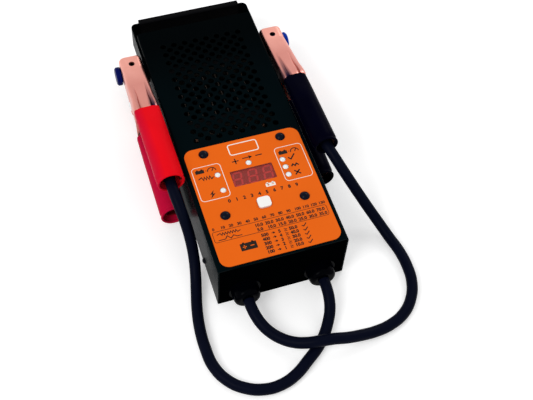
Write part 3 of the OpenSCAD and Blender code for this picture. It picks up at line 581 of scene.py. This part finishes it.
# painted shade and reflection of the black case: the flutes are toned dark, the one beside the case
# most, and so is the wall beside the case
inner_flute_x, outer_flute_x, inner_wall_x = 0.0622, 0.0738, 0.0592
sheet_x, sheet_y = abs(copper.place("X")), copper.place("Y")
flute_grow = ((0.0765 - sheet_y) * 29.0).held(0.0, 1.0)
inner_flute = 1.5 - abs(sheet_x - inner_flute_x) / (0.0006 + 0.0022 * flute_grow)
outer_flute = 0.9 - abs(sheet_x - outer_flute_x) / (0.0008 + 0.0026 * flute_grow)
copper_shade_mask = (inner_flute.held(0.0, 1.0) + 0.35 * outer_flute.held(0.0, 1.0)) * flute_grow
copper_shade_mask = copper_shade_mask + ((inner_wall_x - sheet_x) * 900.0).held(0.0, 0.8)
# painted shade: the plate is darker from near the tip back towards the handle
copper_shaded = copper.blend(((0.1 - sheet_y) * 22.0).held(0.0, 0.6), copper_plate, (0.56, 0.2, 0.17))
copper.surface(
    {
        "Base Color": copper.blend(copper_shade_mask.held(0.0, 1.0), copper_shaded, (0.012, 0.008, 0.03)),
        "Roughness": 0.22 + 0.1 * copper_cloud + 0.1 * copper_draw,
    }
)
copper.bump(copper_draw, 0.00002, 0.5)
copper.on("red_crimp", "black_crimp")

zinc = Finish("zinc_plate", {"Base Color": (0.75, 0.77, 0.78), "Metallic": 1.0})
zinc.surface({"Roughness": 0.22 + 0.25 * zinc.grain(0.004, 3.0, 0.6)})
zinc.on("red_rivet", "black_rivet", "board_spacers", "board_nuts", "terminal_screws", "post_nuts")
spring_wire = Finish("spring_wire", {"Base Color": (0.5, 0.5, 0.52), "Metallic": 1.0})
spring_wire.surface({"Roughness": 0.25 + 0.2 * spring_wire.grain(0.002)})

# a clamp's lengths from its pivot: +Y towards the tip of the jaw, +Z up
pivot_back, pivot_up, clamp_x = 197.0, 34.0, 68.2
jaw_reach, jaw_t, jaw_edge_r = 45.5, 1.6, 3.0
# the sheet thickens outwards from these, so the lower half turns inside the upper one
upper_w, lower_w = 17.6, 14.2
post_reach, notch_r, tip_hole_d = 37.5, 6.3, 5.4
# the nose rounds down from nose_y, and the web climbs from web_y back to the neck of the handle
nose_y, nose_r = 43.7, 1.8
web_y, web_up, web_climb, neck_y = 31.5, 13.2, 0.181, -21.6
widest_half = 9.6
grip_t, grip_l = 2.1, 83.7
grip_start, grip_low, grip_slope = -23.4, 18.3, math.tan(math.radians(2.9))
# half the sleeve's width and height at its front, and what each gains towards the mouth
sleeve_w, sleeve_w_gain, sleeve_h, sleeve_h_gain = 11.4, 0.3, 6.1, 5.6
sleeve_gain_l = 34


def smooth(t):
    t = min(1.0, max(0.0, t))
    return t * t * (3 - 2 * t)


def clamp_at(side, flip, x, y, z):
    """A place on a clamp; the jaws close in a little on the case towards the tip."""
    shift = -0.8 * min(1.0, max(0.0, (y - neck_y) / 67.0))
    return at(side * (clamp_x + shift) + x, pivot_back + y, pivot_up + flip * z)


def sheet_low(y):
    """The lower line of a jaw's side walls: notch, teeth, ear round the pivot, open handle."""
    notch = notch_r**2 - (y - post_reach) ** 2
    if notch > 0.36:
        return math.sqrt(notch)
    if 14 <= y < 26:
        return 0.6 + 1.3 * (1 - abs((y - 14) % 2.4 / 1.2 - 1))
    if y > 8:
        return min(0.6, 0.12 * (y - 8))
    if y > -8:
        return -math.sqrt(64 - y * y)
    return 3.4 + 0.728 * (-8 - y)


def sleeve_ring(s, inset, turn, slim=0.0):
    """A place round the sleeve: flat over the web at the front, round towards its mouth."""
    blend = smooth(s / sleeve_gain_l)
    wide = sleeve_w + sleeve_w_gain * blend + inset - slim
    tall = sleeve_h + sleeve_h_gain * blend + inset - slim * blend
    square = 2 / (3.4 - 1.4 * blend)
    c, d = math.cos(turn), math.sin(turn)
    x = math.copysign(abs(c) ** square, c) * wide
    return x, grip_low + grip_slope * s + math.copysign(abs(d) ** square, d) * tall


def jaw_section(y, w):
    """Across a jaw, from its left wall's foot over the web to the right one, as (x, z) pairs."""
    nose = max(0.0, y - nose_y)
    drop = nose_r - math.sqrt(nose_r**2 - nose**2)
    handle_rise = grip_slope * max(0.0, neck_y - y)
    web = web_up + web_climb * max(0.0, web_y - max(y, neck_y)) + handle_rise
    half = min(w / 2 + 0.1 * max(0.0, -8 - y), widest_half) - drop
    top, low = web - drop, sheet_low(max(y, neck_y)) + handle_rise
    r = jaw_edge_r
    right = [(half, low + (top - r - low) * k / 5) for k in range(5)]
    for k in range(5):
        turn = math.radians(22.5 * k)
        right.append((half - r + r * math.cos(turn), top - r + r * math.sin(turn)))
    flat = half - r
    across = [flat - 2 * flat * k / 30 for k in range(1, 30)]
    left = [(-x, z) for x, z in reversed(right)]
    # the two flutes deepen and widen towards the grip
    grow = min(1.0, max(0.0, (7 - y) / 30))
    middle = []
    for x in across:
        off = abs(abs(x) - 0.55 * half) / (1.0 + 2.3 * grow)
        dent = 1.5 * grow**0.6 * math.cos(min(1.0, off) * math.pi / 2) ** 2
        middle.append((x, top - dent))
    pressed = right + middle + left
    # the handle inside the grip takes the sleeve's shape
    behind = grip_start - y
    blend = smooth((behind + 0.6) / 6)
    points = []
    for i, (x, z) in enumerate(pressed):
        turn = math.radians(-25 + 230 * i / (len(pressed) - 1))
        held_x, held_z = sleeve_ring(max(0.0, behind), -grip_t - 1.2, turn)
        points.append((x + (held_x - x) * blend, z + (held_z - z) * blend))
    return points


jaw_stations = [jaw_reach, 45.35, 45.1, 44.8, 44.3, 43.7, 43.4]
jaw_stations += [43.4 - 0.6 * k for k in range(1, 88)]
jaw_stations += [-9.6 - 1.2 * k for k in range(1, 24)] + [-42 - 6.1 * k for k in range(11)]


def press_jaw(node, side, flip, w, body):
    """A jaw and its handle, pressed from one sheet, with the hole near the tip bored through."""
    points, faces = [], []
    for y in jaw_stations:
        points += [clamp_at(side, flip, x, y, z) for x, z in jaw_section(y, w)]
    count = len(points) // len(jaw_stations)
    for j in range(len(jaw_stations) - 1):
        for i in range(count - 1):
            a = j * count + i
            faces.append((a, a + 1, a + count + 1, a + count))
    faces.append(tuple(reversed(range(count))))
    if flip > 0:
        faces = [tuple(reversed(face)) for face in faces]
    sheet = bpy.data.meshes.new(node)
    sheet.from_pydata([tuple(p) for p in points], [], faces)
    drill_r, drill_l, axis_r = tip_hole_d / 2, 9, 0.01
    drill_outline = [(axis_r, 0), (drill_r, 0), (drill_r, drill_l), (axis_r, drill_l)]
    drill_points, drill_faces = turn_rings(drill_outline, 24)
    drill = bpy.data.meshes.new("drill")
    hole_z = 8 if flip > 0 else -17
    hole = clamp_at(side, 1, 0, post_reach - 1.5, hole_z)
    drill.from_pydata([tuple(hole + p * MM) for p in drill_points], [], drill_faces)
    blank, bit = (bpy.data.objects.new(node, mesh) for mesh in (sheet, drill))
    for thing in (blank, bit):
        bpy.context.scene.collection.objects.link(thing)
    thick = blank.modifiers.new("sheet", "SOLIDIFY")
    thick.thickness, thick.offset = jaw_t * MM, -1
    bore = blank.modifiers.new("bore", "BOOLEAN")
    bore.operation, bore.object = "DIFFERENCE", bit
    pressed = blank.evaluated_get(bpy.context.evaluated_depsgraph_get()).to_mesh()
    corners = [v.co.copy() for v in pressed.vertices]
    outlines = [tuple(face.vertices) for face in pressed.polygons]
    for thing in (blank, bit):
        bpy.data.objects.remove(thing)
    jaw = make_piece(node + "_sheet", corners, outlines, copper, body)
    jaw.data.set_sharp_from_angle(angle=math.radians(38))
    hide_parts(node)


def grip_finish(name, low, high, shade_and_reflection_tone):
    """Dipped vinyl; painted shade deepens the lower sleeve, painted reflection each outer flank."""
    made = Finish(name, {"Specular IOR Level": 0.007})
    cloud = made.grain(0.02, 3.0)
    # painted reflection on each sleeve's outer flank, and painted shade on the lower sleeve
    flank = ((abs(made.place("X")) - 0.0715) * 90.0).held(0.0, 0.75)
    grip_shade_mask = (((0.05 - made.place("Z")) * 90.0).held(0.0, 1.0) + flank).held(0.0, 1.0)
    vinyl = made.blend(grip_shade_mask, made.blend(cloud, low, high), shade_and_reflection_tone)
    made.surface({"Base Color": vinyl, "Roughness": 0.24 + 0.16 * cloud})
    made.bump(made.grain(0.0014, 2.0), 0.00005, 0.5)
    return made


# the third colour of each grip is its deeper tone of painted shade and reflection
grip_red = grip_finish("grip_red", (0.72, 0.003, 0.008), (0.8, 0.006, 0.014), (0.47, 0.004, 0.036))
black_dip = (0.0002, 0.0002, 0.003), (0.0006, 0.0006, 0.006), (0.0003, 0.0003, 0.004)
grip_black = grip_finish("grip_black", *black_dip)


def dip_grip(node, side, flip, finish, body, long, slim):
    """A dipped sleeve with a rolled lip at its mouth and a soft front edge."""
    lip = grip_t / 2
    arc = [math.radians(a) for a in range(0, 181, 20)]
    profile = [(-lip - lip * math.cos(a), long - lip + lip * math.sin(a)) for a in arc]
    profile += [(-grip_t, long * k / 16) for k in range(15, 0, -1)]
    profile += [(-lip + lip * math.cos(math.pi - a), lip - lip * math.sin(a)) for a in arc]
    profile += [(0.0, long * k / 16) for k in range(1, 16)]
    profile.append(profile[0])
    points, faces = [], []
    steps = 56
    for inset, s in profile:
        for k in range(steps):
            x, z = sleeve_ring(s, inset, 2 * math.pi * k / steps, slim)
            points.append(clamp_at(side, flip, x, grip_start - s, z))
    for i in range(len(profile) - 1):
        for k in range(steps):
            low, high, after = i * steps, (i + 1) * steps, (k + 1) % steps
            faces.append((low + k, high + k, high + after, low + after))
    if flip < 0:
        faces = [tuple(reversed(face)) for face in faces]
    sleeve = make_piece(node + "_sleeve", points, faces, finish, body)
    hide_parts(node)


coil_r, wire_r, spring_turns = 4.9, 1.0, 2
leg_back, leg_up = -24.0, 20.6


def wind_spring(node, side, flip, body):
    """One end of the spring: a leg against a handle, and its half of the turns on the rivet."""
    touch = math.atan2(leg_up, leg_back) - math.acos(coil_r / math.hypot(leg_back, leg_up))
    sweep = touch + math.pi * spring_turns
    path = [(flip * -2.6, leg_back, leg_up)]
    for k in range(41):
        turn = touch - sweep * k / 40
        across = flip * (-2.6 + 2.6 * k / 40)
        path.append((across, coil_r * math.cos(turn), coil_r * math.sin(turn)))
    wire_data = bpy.data.curves.new(node, "CURVE")
    wire_data.dimensions = "3D"
    wire_data.bevel_depth = wire_r * MM
    wire_data.bevel_resolution = 3
    wire_data.use_fill_caps = True
    line = wire_data.splines.new("POLY")
    line.points.add(len(path) - 1)
    for knot, place in zip(line.points, path):
        knot.co = (*clamp_at(side, flip, *place), 1)
    wire_data.materials.append(spring_wire.material)
    wire = bpy.data.objects.new(f"{node}_{'leg' if flip < 0 else 'coil'}", wire_data)
    bpy.context.scene.collection.objects.link(wire)
    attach(wire, body)
    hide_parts(node)


for colour, side, finish, slim in (("red", -1, grip_red, 0.0), ("black", 1, grip_black, 0.9)):
    lower_half = colour + "_lower_half"
    press_jaw(colour + "_upper_jaw", side, 1, upper_w, "tester")
    press_jaw(colour + "_lower_jaw", side, -1, lower_w, lower_half)
    slot = "grip_" + colour
    dip_grip(colour + "_upper_grip", side, 1, finish, "tester", grip_l, slim)
    dip_grip(colour + "_lower_grip", side, -1, finish, lower_half, grip_l + 3, slim)
    wind_spring(colour + "_spring", side, 1, "tester")
    wind_spring(colour + "_spring", side, -1, lower_half)

# ---- posts and handle -----------------------------------------------------------------------
# Dark blue nylon posts, each as thick as a battery terminal, park the clamps and carry the
# handle: a steel strap with a moulded grip along its crossbar.

post_blue = Finish("post_blue", {"Specular IOR Level": 0.03})
post_grain = post_blue.grain(0.004)
left_blue = post_blue.blend(post_grain, (0.0008, 0.002, 0.05), (0.0016, 0.006, 0.11))
# painted light: the right post is a brighter blue than the left, which keeps the plain dark blue
painted_light_right = (post_blue.place("X") * 100.0).held(0.0, 1.0)
nylon_blue_and_light = post_blue.blend(painted_light_right, left_blue, (0.001, 0.03, 0.34))
post_blue.surface({"Base Color": nylon_blue_and_light, "Roughness": 0.24 + 0.16 * post_grain})
post_blue.on("clamp_post_left", "clamp_post_right")
post_y, collar_x = 234.5, 78.1
collar_r, collar_t, collar_bore_r, collar_edge = 8.5, 2.4, 6.2, 0.6
collar = [(collar_bore_r, 0), (collar_r - collar_edge, 0), (collar_r, collar_edge)]
collar += [(collar_r, collar_t), (collar_bore_r, collar_t)]
for side in (-1, 1):
    points, faces = turn_rings(collar, 48)
    spin = Matrix.Rotation(side * math.pi / 2, 3, "Y")
    placed = [at(side * collar_x, post_y, pivot_up) + (spin @ p) * MM for p in points]
    make_piece(f"post_collar_{side + 2}", placed, faces, post_blue, "tester")
sleeve_foam = Finish("handle_sleeve", {"Specular IOR Level": 0.03})
foam_gloss = 0.42 + 0.2 * sleeve_foam.grain(0.004)
sleeve_foam.surface({"Base Color": (0.0006, 0.0006, 0.001), "Roughness": foam_gloss})
sleeve_foam.bump(sleeve_foam.grain(0.0008, 2.0), 0.00008, 0.6)
sleeve_foam.on("carry_grip")

# ---- inside the case ------------------------------------------------------------------------
# The load bank and its wiring, which only glint through the vents: nickel-chrome ribbon in
# ceramic bars on plated brackets, copper bars, a relay, and the board behind the panel.

# the copper bars, brackets, ribbon and ceramic bars are very dark, partly for oxide and black plating
# and partly as painted shade inside the case
bar_copper = Finish("bar_copper", {"Base Color": (0.12, 0.06, 0.04), "Metallic": 1.0})
bar_copper.surface({"Roughness": 0.28 + 0.2 * bar_copper.grain(0.006, 3.0)})
bar_copper.on("lug_red", "lug_black", "busbar_red", "busbar_black", "busbar_link")
# plated brackets, nearly black partly as painted shade
zinc_black_and_shade = Finish("zinc_black_and_shade", {"Base Color": (0.007, 0.007, 0.008), "Metallic": 1.0})
zinc_black_and_shade.surface({"Roughness": 0.24 + 0.2 * zinc_black_and_shade.grain(0.004, 3.0)})
zinc_black_and_shade.on("load_brackets")
ribbon = Finish("load_ribbon", {"Metallic": 1.0})
ribbon_heat = ribbon.grain(0.02, 3.0)
ribbon.surface(
    {
        "Base Color": ribbon.blend(ribbon_heat, (0.03, 0.028, 0.028), (0.07, 0.055, 0.045)),
        "Roughness": 0.34 + 0.2 * ribbon_heat,
    }
)
ribbon.on("load_element")
ceramic = Finish("ceramic", {"Base Color": (0.03, 0.027, 0.024), "Specular IOR Level": 0.1})
ceramic.surface({"Roughness": 0.6 + 0.2 * ceramic.grain(0.002)})
ceramic.bump(ceramic.grain(0.0007, 3.0), 0.00006)
ceramic.on("ceramic_bars")
board_green = Finish("board_green", {"Base Color": (0.01, 0.05, 0.02)})
board_green.surface({"Roughness": 0.3 + 0.2 * board_green.grain(0.003)})
board_green.on("circuit_board")
inner_plastic = Finish("inner_plastic", {"Base Color": (0.008, 0.008, 0.009)})
inner_plastic.surface({"Roughness": 0.4 + 0.2 * inner_plastic.grain(0.003)})
inner_plastic.bump(inner_plastic.grain(0.0008), 0.00005)
inner_plastic.on("button_switch", "load_relay", "terminal_block", "gland_nuts")

# ---- studio ---------------------------------------------------------------------------------
# A white sweep under and behind the tester, a white room, one large soft lamp at the left and a
# smaller one at the right.

floor_paint = Finish("floor_paint", {"Base Color": (0.86, 0.86, 0.86), "Roughness": 0.9})
floor_paint.surface({"Specular IOR Level": 0.0})
seen = floor_paint.node("ShaderNodeLightPath", {}, {}, out="Is Camera Ray")
mirrored = floor_paint.node("ShaderNodeLightPath", {}, {}, out="Is Glossy Ray")
through = floor_paint.node("ShaderNodeLightPath", {}, {}, out="Is Transmission Ray")
glow_strength = 0.35 * (seen + mirrored + through)
glow = floor_paint.node("ShaderNodeEmission", {}, {"Strength": glow_strength})
painted = Sock(floor_paint, floor_paint.shader.outputs[0])
floor_shade = floor_paint.node("ShaderNodeAddShader", {}, {0: painted, 1: glow})
floor_paint.join(floor_shade, floor_paint.tree.nodes["Material Output"].inputs["Surface"])

floor_mesh = bpy.data.meshes.new("studio_floor")
floor_half = 3.0
corners = [(-1, -1), (1, -1), (1, 1), (-1, 1)]
floor_points = [(floor_half * x, floor_half * y, 0) for x, y in corners]
floor_mesh.from_pydata(floor_points, [], [(0, 1, 2, 3)])
floor_mesh.materials.append(floor_paint.material)
floor = bpy.data.objects.new("studio_floor", floor_mesh)
floor.location.z = -0.0003
bpy.context.scene.collection.objects.link(floor)

world = bpy.data.worlds.new("studio_room")
bpy.context.scene.world = world
world.use_nodes = True
room = Web(world.node_tree)
lighting = room.node("ShaderNodeLightPath", {}, {}, out="Is Diffuse Ray")
backdrop = world.node_tree.nodes["Background"]
backdrop.inputs["Color"].default_value = (1, 1, 1, 1)
room.join(1.0 - 0.38 * lighting, backdrop.inputs["Strength"])


def soft_lamp(name, place, target, size, power):
    data = bpy.data.lights.new(name, "AREA")
    data.shape = "RECTANGLE"
    data.size, data.size_y = size
    data.energy = power
    lamp = bpy.data.objects.new(name, data)
    bpy.context.scene.collection.objects.link(lamp)
    lamp.location = place
    aim = Vector(target) - Vector(place)
    lamp.rotation_euler = aim.to_track_quat("-Z", "Y").to_euler()


soft_lamp("key_lamp", (-0.9, -0.5, 1.1), (0, 0, 0.03), (0.7, 0.7), 9)
soft_lamp("rim_lamp", (0.9, 0.6, 0.9), (0, 0, 0.03), (0.5, 0.5), 4)

scene_view = bpy.context.scene.view_settings
scene_view.view_transform = "Standard"
